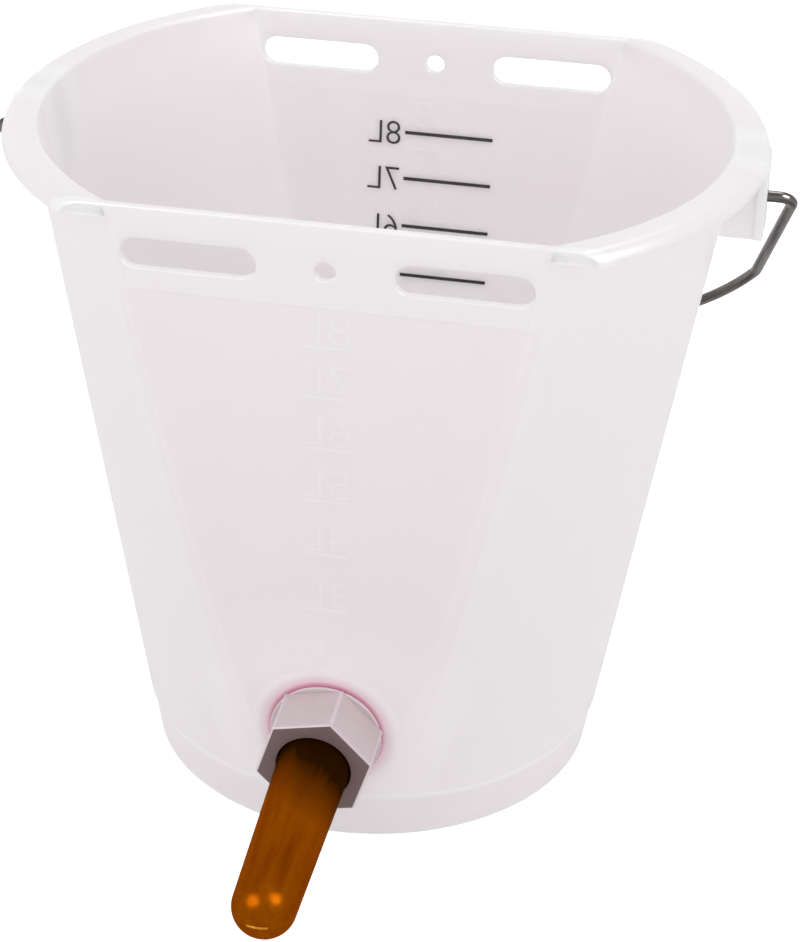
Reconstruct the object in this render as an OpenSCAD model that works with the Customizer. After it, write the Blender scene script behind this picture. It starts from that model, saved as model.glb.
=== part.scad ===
// Calf feeding bucket: a translucent bucket with two flat slotted panels, a wire bail
// and a screwed teat valve low on the front. Front is -Y, and the ground is at zero.

/* [Bucket] */
// Height from the ground to the rim
bucket_h = 282; // [260:1:310]
// Outer radius of the round wall at the ground
base_r = 95.75; // [92:0.25:100]
// Outer radius of the round wall at the rim
rim_r = 139.5; // [136:0.25:146]
// Half depth over the flat panels at the rim, as a share of the rim's radius
rim_flat_share = 0.81541; // [0.79:0.001:0.83]
// Half depth over the planes of the panels at the ground, as a share of the base's radius
base_flat_share = 1.02075; // [1.0:0.001:1.03]
// Thickness of the wall
wall_t = 2.75; // [2:0.25:3.25]
// Height of the inside floor above the ground
floor_z = 22; // [16:1:24]
// Thickness of the floor
floor_t = 3; // [2:0.25:5]
// Inset of the foot ring from the wall above it
foot_step = 0.8; // [0.4:0.1:1.2]

/* [Slotted bands] */
// Thickness of the bands under the rim
band_t = 3.75; // [3.5:0.25:5]
// Height of the bands
band_h = 33.75; // [28:0.25:40]
// Length of a hanging slot, as a share of half the band's width
slot_len_share = 0.6643; // [0.5:0.001:0.67]
// Height of a hanging slot
slot_w = 12.4; // [8:0.1:16]
// Distance from the middle of the band to a slot, as a share of half the band's width
slot_share = 0.6604; // [0.5:0.001:0.661]
// Drop from the rim to the middle of the slots
slot_drop = 18.6; // [14:0.1:20]
// Diameter of the hanging hole between the slots
hole_d = 8; // [5:0.5:12]

/* [Rim lip] */
// Reach of the lip outside the wall
lip_reach = 11.25; // [10:0.25:14]
// Depth of the lip below the rim
lip_drop = 6; // [5:0.25:8]
// Thickness of the lip
lip_t = 2.2; // [1.6:0.1:3]
// Thickness of the webs that close the lip's ends
lip_web_t = 2; // [1.2:0.1:3]

/* [Bail ears] */
// Width of an ear
ear_w = 22; // [18:1:30]
// Height of an ear
ear_drop = 34; // [30:1:40]
// Thickness of an ear's walls
ear_wall = 3.6; // [2.4:0.1:4.5]
// Step of an ear's face outside the lip
ear_proud = 0.5; // [0.3:0.1:1.5]
// Drop from the rim to the bail's pivot
pivot_drop = 19.3; // [17:0.1:22]

/* [Bail] */
// Diameter of the wire
wire_d = 4.5; // [3.5:0.1:5.5]
// Distance from the ear's face to the leg, at the pivot
leg_stand_off = 10.5; // [9:0.1:14]
// Inward lean of the legs, in degrees
leg_lean = 10.4; // [6:0.1:12]
// Length of a leg between its bends
leg_len = 66.5; // [60:0.5:80]
// Lean of the bow where it starts, in degrees
bow_lean = 24; // [18:0.5:30]
// Radius of the bend next to the ear
elbow_r = 5; // [4:0.25:6]
// Radius of the bend where the leg meets the bow
knee_r = 12; // [8:1:20]
// Radius of the flattened head inside the ear
head_r = 3.4; // [2.8:0.1:4.2]
// Thickness of the flattened head
head_t = 2; // [1:0.25:3]

/* [Valve] */
// Least height of the valve's axis where it meets the panel
valve_low = 54; // [52:0.5:64]
// Radius of the flat pad around the valve
pad_r = 31.25; // [28:0.25:31.5]
// Height of the pad above the panel
pad_raise = 0.75; // [0.25:0.25:1.5]
// Outer radius of the threaded sleeve
sleeve_r = 17.5; // [16.5:0.25:18.5]
// Radius of the sleeve's inside flange
flange_r = 24.5; // [22:0.5:26]
// Thickness of the inside flange
flange_t = 3; // [2:0.25:4]
// Radius of the red seal
seal_r = 27.5; // [25:0.5:28]
// Thickness of the red seal
seal_t = 2; // [1:0.25:3]
// Radius of the slip washer
washer_r = 22.9; // [22:0.1:26]
// Thickness of the slip washer
washer_t = 1.2; // [0.8:0.1:2]

/* [Union nut] */
// Size across the flats
nut_af = 42; // [40:0.5:46]
// Length of the nut
nut_h = 22.4; // [20:0.2:26]
// Thickness of the nut's front shoulder
shoulder_t = 4; // [3:0.25:5]
// Radius of the nut's front opening
mouth_r = 15.2; // [14.9:0.1:15.8]
// Turn of the hexagon about its axis, in degrees
nut_turn = 12.8; // [0:0.1:59]

/* [Check valve] */
// Radius of the ball
ball_r = 7; // [6.5:0.1:7.5]
// Radius of the inlet that the ball closes
inlet_r = 5.5; // [4:0.1:6]
// Radius of the ball's chamber
chamber_r = 8.2; // [8:0.1:10]
// Travel of the ball
ball_travel = 5.5; // [4:0.25:7]
// Radius of the retainer disc
retainer_r = 13; // [12:0.25:14]
// Number of flow holes in the retainer
flow_holes = 6; // [4:1:8]
// Radius of a flow hole
flow_hole_r = 2.2; // [1.5:0.1:2.4]
// Radius of the circle that the flow holes lie on
flow_ring_r = 7; // [6.6:0.1:8]

/* [Teat] */
// Radius of the teat where it leaves the nut
teat_root_r = 14.5; // [13:0.1:14.6]
// Radius of the teat at its round tip
teat_tip_r = 12.4; // [11:0.1:14]
// Reach of the teat beyond the nut
teat_reach = 93.5; // [70:0.5:110]
// Thickness of the rubber
teat_t = 3.5; // [2.5:0.1:4]
// Thickness of the clamped flange
teat_flange_t = 3; // [2:0.25:4]
// Length of the slits in the tip
slit_len = 8; // [5:0.5:10]
// Width of the slits in the tip
slit_w = 0.4; // [0.2:0.1:0.8]

/* [Hidden] */
$fn = 96;

// Overrun of every cut past the surface that it leaves
over = 1;
// Clearance round the bail's wire in an ear
pivot_clear = 0.2;
// Swell of the wire where a bend meets a straight
bend_swell = 0.1;
// Side play of the bail's head behind the ear's face
head_play = 0.4;
// Gap that is left between the hanging bail and the wall
bail_gap = 0.5;
// Clearance of plain cylinders that stand for a screw thread
thread_clear = 0.15;
// Clearance of the sleeve in the wall, the seal and the washer
sleeve_clear = 0.4;
// Clearance of the retainer in its recess
retainer_clear = 0.1;
// Gap between the ball and its stop at each end of its travel
ball_gap = 0.15;
// Clearance round the teat's flange inside the nut
flange_clear = 0.3;
// Flat wall that is left at each side of the red seal
seal_margin = 1;
// Share of the wall's thickness that the pad is rooted in
pad_root_share = 0.75;
// Angles between which the hanging bail is sought, and the halvings that find it
least_hang = 20;
most_hang = 80;
hang_tries = 24;
// Colour of the moulded plastic in the CAD view
milky = [0.93, 0.90, 0.92, 0.75];
// Steps in a quarter of a rounded profile
arc_steps = 10;

// Walls, as functions of the height above the ground
panel_half_d = rim_r * rim_flat_share;
panel_base_d = base_r * base_flat_share;
panel_lean = atan((panel_half_d - panel_base_d) / bucket_h);
wall_lean = atan((rim_r - base_r) / bucket_h);
wall_side = wall_t / cos(wall_lean);
panel_side = wall_t / cos(panel_lean);
band_side = band_t / cos(panel_lean);
band_z = bucket_h - band_h;
function wall_at(z) = base_r + z * tan(wall_lean);
function room_at(z) = wall_at(z) - wall_side;
function band_at(z) = panel_half_d - (bucket_h - z) * tan(panel_lean);
function room_panel_at(z) = band_at(z) - band_side;
function panel_at(z) = room_panel_at(z) + panel_side;

// Height at which the inside of a flat panel first has the given half width
function flat_from(half) =
    let (a = pow(tan(wall_lean), 2) - pow(tan(panel_lean), 2))
    let (b = 2 * (room_at(0) * tan(wall_lean) - room_panel_at(0) * tan(panel_lean)))
    let (c = pow(room_at(0), 2) - pow(room_panel_at(0), 2) - pow(half, 2))
    (sqrt(b * b - 4 * a * c) - b) / (2 * a);

// Rim lip and ears
lip_r = rim_r + lip_reach;
skirt_z = bucket_h - lip_drop;
slab_w = lip_r + over;
ear_z = bucket_h - ear_drop;
ear_r = lip_r + ear_proud;
ear_back = ear_r - ear_wall;
ear_root = room_at(ear_z) - over;
lip_root = room_at(skirt_z) - over;
slot_z = bucket_h - slot_drop;
band_half_w = sqrt(pow(wall_at(slot_z), 2) - pow(band_at(slot_z), 2));
slot_len = slot_len_share * band_half_w;
slot_x = slot_share * band_half_w;
pivot_z = bucket_h - pivot_drop;

// Bail, drawn upright in its own plane with the pivot at zero
wire_r = wire_d / 2;
leg_x = ear_r + leg_stand_off;
elbow_turn = 90 + leg_lean;
elbow_c = [leg_x - elbow_r * tan(elbow_turn / 2), elbow_r];
leg_start = elbow_c + elbow_r * [cos(leg_lean), sin(leg_lean)];
leg_end = leg_start + leg_len * [-sin(leg_lean), cos(leg_lean)];
knee_c = leg_end - knee_r * [cos(leg_lean), sin(leg_lean)];
bow_start = knee_c + knee_r * [cos(bow_lean), sin(bow_lean)];
bow_r = bow_start.x / cos(bow_lean);
bow_c = [0, bow_start.y - bow_r * sin(bow_lean)];
head_x = ear_back - head_play - head_t;

// Angle from straight down at which the bow hangs against the wall
bow_samples = [for (a = [bow_lean : 2 : 90]) bow_c + bow_r * [cos(a), sin(a)]];
function off_wall(p, swing) =
    let (y = p.y * sin(swing), z = pivot_z - p.y * cos(swing))
    max(norm([p.x, y]) - wall_at(z), y - panel_at(z));
function bow_off_wall(swing) = min([for (p = bow_samples) off_wall(p, swing)]);
function hang_angle(low, high, tries) =
    let (mid = (low + high) / 2)
    tries == 0 ? high :
    bow_off_wall(mid) > wire_r + bail_gap ? hang_angle(low, mid, tries - 1) :
    hang_angle(mid, high, tries - 1);
bail_hang = hang_angle(least_hang, most_hang, hang_tries);

// Valve stack along its axis, with the pad's face at zero and outward positive
valve_z = max(valve_low, flat_from(seal_r + seal_margin));
pad_y = panel_at(valve_z) + pad_raise / cos(panel_lean);
pad_root = -pad_raise - pad_root_share * wall_t;
wall_back = -pad_raise - wall_t;
seal_back = wall_back - seal_t;
flange_back = seal_back - flange_t;
nut_front = washer_t + nut_h;
shoulder_z = nut_front - shoulder_t;
sleeve_end = shoulder_z - teat_flange_t;
passage_r = sleeve_r + sleeve_clear;
nut_bore_r = sleeve_r + thread_clear;
teat_flange_r = nut_bore_r - flange_clear;

// Ball, its seat and its retainer, along the same axis
seat_dip = sqrt(ball_r * ball_r - inlet_r * inlet_r);
ball_open_z = seal_back + seat_dip + ball_gap + ball_travel;
retainer_z = ball_open_z + ball_r + ball_gap;
retainer_t = sleeve_end - retainer_z;

// Teat profile
teat_tip_z = nut_front + teat_reach;
teat_dome_z = teat_tip_z - teat_tip_r;

// Points of a quarter circle about c, from angle a to angle b
function arc(c, r, a, b) = [for (i = [0 : arc_steps]) c + r * [cos(a + (b - a) * i / arc_steps),
    sin(a + (b - a) * i / arc_steps)]];

// A shape drawn in depth and height, carried right across the bucket
module across() {
    rotate([90, 0, 90])
        linear_extrude(height = 2 * slab_w, center = true)
            children();
}

// Space between two leaning planes, each at depth(z) = low at z0 and high at z1
module between_panels(z0, low, z1, high) {
    across()
        polygon([[-low, z0], [low, z0], [high, z1], [-high, z1]]);
}

module both_sides() {
    children();
    mirror([1, 0, 0])
        children();
}

module on_valve_axis() {
    translate([0, -pad_y, valve_z])
        rotate([90 + panel_lean, 0, 0])
            children();
}

module ring(z0, z1, outer, inner) {
    translate([0, 0, z0])
        difference() {
            cylinder(h = z1 - z0, r = outer);
            translate([0, 0, -over])
                cylinder(h = z1 - z0 + 2 * over, r = inner);
        }
}

// A solid frustum between two heights, for the round wall and the room inside it
module frustum(z0, r0, z1, r1) {
    translate([0, 0, z0])
        cylinder(h = z1 - z0, r1 = r0, r2 = r1);
}

// The panels end under the bands, and the round wall runs on to the rim between them
module body_outside() {
    intersection() {
        union() {
            frustum(floor_z, wall_at(floor_z), bucket_h, rim_r);
            frustum(0, base_r - foot_step, floor_z, wall_at(floor_z) - foot_step);
        }
        union() {
            between_panels(0, panel_at(0), band_z, panel_at(band_z));
            between_panels(band_z, room_panel_at(band_z), bucket_h, room_panel_at(bucket_h));
        }
    }
}

module room() {
    low = floor_z - over;
    top = bucket_h + over;
    intersection() {
        frustum(floor_z, room_at(floor_z), top, room_at(top));
        union() {
            between_panels(low, room_panel_at(low), band_z, room_panel_at(band_z));
            between_panels(band_z, slab_w, top + over, slab_w);
        }
    }
}

module foot_room() {
    top = floor_z - floor_t;
    frustum(-over, room_at(-over) - foot_step, top, room_at(top) - foot_step);
}

// Rounded outer edge of the rim, of radius r about the centre that suits an outermost reach
function rim_round(reach, r, a, b) = arc([reach - lip_drop, skirt_z], r, a, b);

module round_rim(points) {
    intersection() {
        rotate([0, 0, -90])
            rotate_extrude(angle = 180)
                polygon(points);
        between_panels(skirt_z - over, band_at(skirt_z - over), bucket_h + over, band_at(bucket_h + over));
    }
}

// The lip is a curled plate, closed at its four ends by thin webs
module lip() {
    low = skirt_z - over;
    top = bucket_h + over;
    web_round = lip_drop - lip_t / 2;
    round_rim(concat([[lip_root, bucket_h], [lip_root, bucket_h - lip_t]],
        rim_round(lip_r, lip_drop - lip_t, 90, 0), rim_round(lip_r, lip_drop, 0, 90)));
    difference() {
        round_rim(concat([[lip_root, skirt_z + web_round], [lip_root, skirt_z]],
            rim_round(lip_r, web_round, 0, 90)));
        between_panels(low, band_at(low) - lip_web_t, top, band_at(top) - lip_web_t);
    }
}

// An ear is an outer plate on two side plates, with a pocket between them for the bail's head
module ear() {
    pocket_w = ear_w - 2 * ear_wall;
    intersection() {
        translate([0, 0, ear_z])
            linear_extrude(height = ear_drop + over)
                difference() {
                    translate([ear_root, -ear_w / 2])
                        square([ear_r + over - ear_root, ear_w]);
                    translate([ear_root - over, -pocket_w / 2])
                        square([ear_back + over - ear_root, pocket_w]);
                }
        rotate([90, 0, 0])
            linear_extrude(height = ear_w + 2 * over, center = true)
                polygon(concat(
                    [[ear_root - over, bucket_h], [ear_root - over, ear_z - over], [ear_r, ear_z - over]],
                    rim_round(ear_r, lip_drop, 0, 90)));
    }
}

module pivot_hole() {
    translate([ear_back - over, 0, pivot_z])
        rotate([0, 90, 0])
            cylinder(h = ear_wall + 2 * over, r = wire_r + pivot_clear);
}

// A hole that runs through the front band, at x and the slots' height
module band_bore(x, r) {
    near = room_panel_at(band_z) - over;
    translate([x, -near, slot_z])
        rotate([90, 0, 0])
            cylinder(h = panel_half_d + over - near, r = r);
}

module hanging_slot(x) {
    near = room_panel_at(band_z) - over;
    end = (slot_len - slot_w) / 2;
    band_bore(x - end, slot_w / 2);
    band_bore(x + end, slot_w / 2);
    translate([x - end, -panel_half_d - over, slot_z - slot_w / 2])
        cube([2 * end, panel_half_d + over - near, slot_w]);
}

module front_band() {
    color(milky)
        difference() {
            intersection() {
                frustum(band_z, wall_at(band_z), bucket_h, rim_r);
                across()
                    polygon([[-room_panel_at(band_z), band_z], [-band_at(band_z), band_z],
                        [-panel_half_d, bucket_h], [-room_panel_at(bucket_h), bucket_h]]);
            }
            both_sides()
                hanging_slot(slot_x);
            band_bore(0, hole_d / 2);
        }
}

module back_band() {
    mirror([0, 1, 0])
        front_band();
}

module right_rim() {
    color(milky)
        difference() {
            union() {
                lip();
                ear();
            }
            frustum(ear_z - over, wall_at(ear_z - over), bucket_h + over, wall_at(bucket_h + over));
            pivot_hole();
        }
}

module left_rim() {
    mirror([1, 0, 0])
        right_rim();
}

module bucket_body() {
    color(milky)
        difference() {
            union() {
                body_outside();
                on_valve_axis()
                    translate([0, 0, pad_root])
                        cylinder(h = -pad_root, r = pad_r);
            }
            room();
            foot_room();
            on_valve_axis()
                translate([0, 0, wall_back - over])
                    cylinder(h = 2 * over - wall_back, r = passage_r);
        }
}

// An arc of wire about c, from angle a to angle b, in the bail's plane
module wire_arc(c, r, a, b) {
    translate(c)
        rotate([0, 0, a])
            rotate_extrude(angle = b - a)
                translate([r, 0])
                    circle(r = wire_r);
}

// The slight swell left by bending the wire, at point p in the bail's plane
module wire_swell(p) {
    translate(p)
        sphere(r = wire_r + bend_swell);
}

module wire_end() {
    rotate([0, 90, 0]) {
        translate([0, 0, head_x])
            cylinder(h = elbow_c.x - head_x, r = wire_r);
        translate([0, 0, head_x])
            cylinder(h = head_t, r = head_r);
    }
}

module bail_handle() {
    color("dimgray")
        translate([0, 0, pivot_z])
            rotate([bail_hang - 180, 0, 0])
                rotate([90, 0, 0]) {
                    both_sides() {
                        wire_end();
                        wire_arc(elbow_c, elbow_r, -90, leg_lean);
                        translate(leg_start)
                            rotate([-90, 0, leg_lean])
                                cylinder(h = leg_len, r = wire_r);
                        wire_arc(knee_c, knee_r, leg_lean, bow_lean);
                        for (p = [[elbow_c.x, 0], leg_start, leg_end, bow_start])
                            wire_swell(p);
                    }
                    wire_arc(bow_c, bow_r, bow_lean, 180 - bow_lean);
                }
}

module valve_body() {
    color("whitesmoke")
        on_valve_axis()
            difference() {
                union() {
                    translate([0, 0, flange_back])
                        cylinder(h = flange_t, r = flange_r);
                    translate([0, 0, seal_back])
                        cylinder(h = sleeve_end - seal_back, r = sleeve_r);
                }
                translate([0, 0, flange_back - over])
                    cylinder(h = flange_t + 2 * over, r = inlet_r);
                translate([0, 0, seal_back])
                    cylinder(h = sleeve_end - seal_back + over, r = chamber_r);
                translate([0, 0, retainer_z])
                    cylinder(h = retainer_t + over, r = retainer_r + retainer_clear);
            }
}

module wall_seal() {
    color("firebrick")
        on_valve_axis()
            ring(seal_back, wall_back, seal_r, passage_r);
}

module slip_washer() {
    color("silver")
        on_valve_axis()
            ring(0, washer_t, washer_r, passage_r);
}

module ball_retainer() {
    color("whitesmoke")
        on_valve_axis()
            difference() {
                translate([0, 0, retainer_z])
                    cylinder(h = retainer_t, r = retainer_r);
                for (i = [0 : flow_holes - 1])
                    rotate([0, 0, i * 360 / flow_holes])
                        translate([flow_ring_r, 0, retainer_z - over])
                            cylinder(h = retainer_t + 2 * over, r = flow_hole_r);
            }
}

module check_ball() {
    color("ivory")
        on_valve_axis()
            translate([0, 0, ball_open_z])
                sphere(r = ball_r);
}

module teat() {
    bore_root = teat_root_r - teat_t;
    bore_tip = teat_tip_r - teat_t;
    color("saddlebrown")
        on_valve_axis()
            difference() {
                rotate_extrude()
                    polygon(concat(
                        [[bore_root, sleeve_end], [teat_flange_r, sleeve_end], [teat_flange_r, shoulder_z],
                            [teat_root_r, shoulder_z], [teat_root_r, nut_front]],
                        arc([0, teat_dome_z], teat_tip_r, 0, 90),
                        arc([0, teat_dome_z], bore_tip, 90, 0)));
                for (turn = [0, 90])
                    rotate([0, 0, turn])
                        translate([-slit_len / 2, -slit_w / 2, teat_dome_z])
                            cube([slit_len, slit_w, teat_tip_r + over]);
            }
}

module union_nut() {
    color("silver")
        on_valve_axis()
            difference() {
                translate([0, 0, washer_t])
                    rotate([0, 0, nut_turn])
                        cylinder(h = nut_h, r = nut_af / 2 / cos(30), $fn = 6);
                translate([0, 0, washer_t - over])
                    cylinder(h = shoulder_z - washer_t + over, r = nut_bore_r);
                translate([0, 0, shoulder_z - over])
                    cylinder(h = shoulder_t + 2 * over, r = mouth_r);
            }
}

bucket_body();
front_band();
back_band();
left_rim();
right_rim();
bail_handle();
valve_body();
wall_seal();
slip_washer();
ball_retainer();
check_ball();
teat();
union_nut();
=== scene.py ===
import bpy
import bmesh
import math
from mathutils import Matrix, Vector
from mathutils.geometry import tessellate_polygon


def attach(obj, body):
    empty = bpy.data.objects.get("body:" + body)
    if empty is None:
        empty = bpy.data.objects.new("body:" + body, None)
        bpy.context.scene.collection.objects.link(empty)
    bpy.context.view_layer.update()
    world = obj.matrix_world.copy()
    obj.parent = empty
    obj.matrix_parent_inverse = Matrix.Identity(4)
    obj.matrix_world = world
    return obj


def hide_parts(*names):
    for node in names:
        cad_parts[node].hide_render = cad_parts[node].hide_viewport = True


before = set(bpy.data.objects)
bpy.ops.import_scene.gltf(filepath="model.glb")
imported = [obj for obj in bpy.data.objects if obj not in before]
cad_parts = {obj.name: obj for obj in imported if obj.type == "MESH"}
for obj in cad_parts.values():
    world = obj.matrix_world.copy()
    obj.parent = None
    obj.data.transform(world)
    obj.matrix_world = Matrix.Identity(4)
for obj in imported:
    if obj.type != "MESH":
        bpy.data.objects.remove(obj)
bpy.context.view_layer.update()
scene = bpy.context.scene
print("frame loaded:", len(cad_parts), "nodes")

mm = 0.001  # shapes are worked out in millimetres and scaled when the mesh is made


# mesh helpers

def meshObject(name, verts, faces, sharpAngle=32, place=None):
    mesh = bpy.data.meshes.new(name)
    points = [Vector(v) for v in verts]
    if place is not None:
        points = [place @ p for p in points]
    mesh.from_pydata([p * mm for p in points], [], faces)
    obj = bpy.data.objects.new(name, mesh)
    scene.collection.objects.link(obj)
    tidyMesh(obj, sharpAngle)
    return obj


def tidyMesh(obj, sharpAngle=32):
    bm = bmesh.new()
    bm.from_mesh(obj.data)
    bmesh.ops.remove_doubles(bm, verts=bm.verts, dist=2e-6)
    bmesh.ops.recalc_face_normals(bm, faces=bm.faces)
    for f in bm.faces:
        f.smooth = True
    bm.to_mesh(obj.data)
    bm.free()
    obj.data.set_sharp_from_angle(angle=math.radians(sharpAngle))


def finishPiece(obj, body, material, nodes=()):
    obj.data.materials.clear()
    obj.data.materials.append(material)
    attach(obj, body)
    if nodes:
        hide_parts(*nodes)


def stackFaces(rings, count, closedStack=False, skip=()):
    faces = []
    total = len(rings)
    for k in range(total if closedStack else total - 1):
        a, b = k * count, ((k + 1) % total) * count
        for i in range(count):
            if (k, i) in skip:
                continue
            j = (i + 1) % count
            faces.append((a + i, a + j, b + j, b + i))
    return faces


def ringsObject(name, rings, closedStack=False, capStart=False, capEnd=False, place=None, sharpAngle=32):
    count = len(rings[0])
    verts = [p for ring in rings for p in ring]
    faces = stackFaces(rings, count, closedStack)
    if capStart:
        faces.append(tuple(range(count)))
    if capEnd:
        last = (len(rings) - 1) * count
        faces.append(tuple(range(last, last + count)))
    return meshObject(name, verts, faces, sharpAngle, place)


def turned(profile, steps):  # rings of a turned shape from (radius, height) points
    rings = []
    for r, z in profile:
        rings.append([(r * math.cos(2 * math.pi * i / steps), r * math.sin(2 * math.pi * i / steps), z)
                      for i in range(steps)])
    return rings


def arcPoints(cx, cz, r, a, b, steps):
    out = []
    for i in range(steps + 1):
        t = math.radians(a + (b - a) * i / steps)
        out.append((cx + r * math.cos(t), cz + r * math.sin(t)))
    return out


def fuse(target, tool, operation):
    mod = target.modifiers.new("fuse", "BOOLEAN")
    mod.operation = operation
    mod.solver = "EXACT"
    mod.object = tool
    depsgraph = bpy.context.evaluated_depsgraph_get()
    made = bpy.data.meshes.new_from_object(target.evaluated_get(depsgraph))
    target.modifiers.clear()
    target.data = made
    bpy.data.objects.remove(tool)


# node helpers

def startMaterial(name):
    mat = bpy.data.materials.new(name)
    mat.use_nodes = True
    tree = mat.node_tree
    tree.nodes.clear()
    out = tree.nodes.new("ShaderNodeOutputMaterial")
    shader = tree.nodes.new("ShaderNodeBsdfPrincipled")
    tree.links.new(shader.outputs["BSDF"], out.inputs["Surface"])
    return mat, tree, shader


def feed(tree, socket, value):
    if hasattr(value, "is_output"):
        tree.links.new(value, socket)
    else:
        socket.default_value = value


def calc(tree, operation, a, b=0.0, c=0.0, clamp=False):
    node = tree.nodes.new("ShaderNodeMath")
    node.operation = operation
    node.use_clamp = clamp
    for socket, value in zip(node.inputs, (a, b, c)):
        feed(tree, socket, value)
    return node.outputs[0]


def step(tree, value, edge, soft):  # 0 below the edge, 1 above it
    return calc(tree, "DIVIDE", calc(tree, "SUBTRACT", value, edge), soft, clamp=True)


def blendColour(tree, factor, a, b, mode="MIX"):
    node = tree.nodes.new("ShaderNodeMix")
    node.data_type = "RGBA"
    node.blend_type = mode
    feed(tree, node.inputs["Factor"], factor)
    feed(tree, node.inputs["A"], a)
    feed(tree, node.inputs["B"], b)
    return node.outputs["Result"]


def grain(tree, scale, detail=2.0, rough=0.5, stretch=None, coordsFrom="Object"):
    coords = tree.nodes.new("ShaderNodeTexCoord").outputs[coordsFrom]
    if stretch:
        mapping = tree.nodes.new("ShaderNodeMapping")
        mapping.inputs["Scale"].default_value = stretch
        tree.links.new(coords, mapping.inputs["Vector"])
        coords = mapping.outputs["Vector"]
    node = tree.nodes.new("ShaderNodeTexNoise")
    node.inputs["Scale"].default_value = scale
    node.inputs["Detail"].default_value = detail
    node.inputs["Roughness"].default_value = rough
    tree.links.new(coords, node.inputs["Vector"])
    return node.outputs["Fac"]


def spread(tree, value, low, high):  # stretches the middle of a noise
    node = tree.nodes.new("ShaderNodeMapRange")
    feed(tree, node.inputs["Value"], value)
    node.inputs["From Min"].default_value = 0.3
    node.inputs["From Max"].default_value = 0.7
    node.inputs["To Min"].default_value = low
    node.inputs["To Max"].default_value = high
    return node.outputs["Result"]


def glossy(tree, shader, scale, low, high, detail=2.0):  # roughness that varies a little
    tree.links.new(spread(tree, grain(tree, scale, detail), low, high), shader.inputs["Roughness"])


def roughen(tree, shader, scale, strength, depth, detail=2.0):  # fine bumps, their depth in millimetres
    node = tree.nodes.new("ShaderNodeBump")
    node.inputs["Strength"].default_value = strength
    node.inputs["Distance"].default_value = depth * mm
    tree.links.new(grain(tree, scale, detail), node.inputs["Height"])
    tree.links.new(node.outputs["Normal"], shader.inputs["Normal"])


def rgb(r, g, b):
    return (r, g, b, 1.0)


# sizes of the moulding, the same as the solids

bucket = {
    "height": 282.0, "baseR": 95.75, "rimR": 139.5, "halfDepth": 113.75, "panelLean": 3.25,
    "wall": 2.75, "bandWall": 3.75, "bandHeight": 33.75, "floorTop": 22.0, "floorThick": 3.0, "footStep": 0.8,
    "slotLength": 51.3, "slotWidth": 12.4, "slotPitch": 102.0, "slotDrop": 18.6, "holeWidth": 8.0,
    "edge": 0.45, "rimEdge": 1.4, "slotEdge": 0.25, "floorFillet": 3.0, "underFillet": 2.0,
    "crease": 1.0, "bandCrease": 0.25,  # rounding of the corner between the flat and the round wall
    "bandStep": 0.3, "bandUnder": 0.15, "footTurn": 21.8, "footTurnIn": 0.3,
    "footLevels": (6.0, 12.0, 16.0, 19.0, 21.3),
    "wallLevels": (22.2, 24.0, 27.0, 31.0, 36.0, 42.0, 50.0, 60.0, 75.0, 95.0, 120.0, 150.0, 180.0, 210.0, 232.0),
    "innerFrom": 3,  # the lowest three are left to the floor's fillet inside
    "arcSteps": 30, "creaseSteps": 4, "flatSteps": 6, "flatMost": 84.0, "noFlat": 400.0,
}
wallTan = (bucket["rimR"] - bucket["baseR"]) / bucket["height"]
wallSide = bucket["wall"] / math.cos(math.atan(wallTan))
leanTan = math.tan(math.radians(bucket["panelLean"]))
leanCos = math.cos(math.radians(bucket["panelLean"]))
rimZ = bucket["height"]
bandZ = rimZ - bucket["bandHeight"]
slotZ = rimZ - bucket["slotDrop"]


def wallAt(z):
    return bucket["baseR"] + z * wallTan


def roomAt(z):
    return wallAt(z) - wallSide


def bandAt(z):
    return bucket["halfDepth"] - (rimZ - z) * leanTan


def roomPanelAt(z):
    return bandAt(z) - bucket["bandWall"] / leanCos


def panelAt(z):
    return roomPanelAt(z) + bucket["wall"] / leanCos


rim = {
    "reach": 11.25, "drop": 6.0, "plate": 2.2, "web": 2.0, "dip": 0.6, "endEdge": 0.5, "rootIn": 1.4, "sink": 0.05,
    "skirtEdge": 0.5, "skirtOut": 0.1, "skirtUp": 0.3, "skirtIn": 0.4, "endGap": 0.04, "arcShare": 0.87, "curlFrom": 8,
    "middleOut": 0.2, "middleUp": 2.6,  # the ends are drawn in towards this place
    "dipShare": (0.74, 0.60), "frameShare": (0.93, 0.88), "softShare": (0.98, 0.965),
    "curlSteps": 9, "innerSteps": 7, "steps": 72,
}
valve = {
    "z": 54.0, "padR": 31.25, "padRaise": 0.75, "passageR": 17.9, "padRoot": 2.0, "passage": (-12.0, 6.0), "steps": 96,
    "padEdge": ((0.0, -0.7), (0.8, -0.52), (1.8, -0.26), (2.8, -0.07), (3.6, 0.0)),  # in from the radius, and height
}
padY = panelAt(valve["z"]) + valve["padRaise"] / leanCos
stack = {
    "flangeBack": -8.5, "sealBack": -5.5, "wallBack": -3.5, "washer": 1.2, "nutFront": 23.6, "shoulder": 19.6,
    "sleeveEnd": 16.6, "sleeveR": 17.5, "flangeR": 24.5, "sealR": 27.5, "washerR": 22.9, "inletR": 5.5,
    "chamberR": 8.2, "recessR": 13.1, "retainerZ": 11.630, "pitch": 3.0, "threadDeep": 0.9,
    "edge": 0.3, "flangeEdge": 0.6, "flangeSoft": 0.15, "coreLess": 0.6, "coreEnd": 0.6, "noseLess": 1.3,
    "sealEdge": 0.5, "washerEdge": 0.3, "ringSoft": 0.3, "ringSteps": 112, "sharp": 30,
}
valvePlace = (Matrix.Translation((0, -padY, valve["z"]))
              @ Matrix.Rotation(math.radians(90 + bucket["panelLean"]), 4, "X"))


# finishes: edges and softness of a change of colour are in millimetres

def placeOf(tree, coordsFrom="Object"):
    split = tree.nodes.new("ShaderNodeSeparateXYZ")
    tree.links.new(tree.nodes.new("ShaderNodeTexCoord").outputs[coordsFrom], split.inputs[0])
    return split.outputs


def above(tree, place, edge, soft):
    return step(tree, place, edge * mm, soft * mm)


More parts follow.
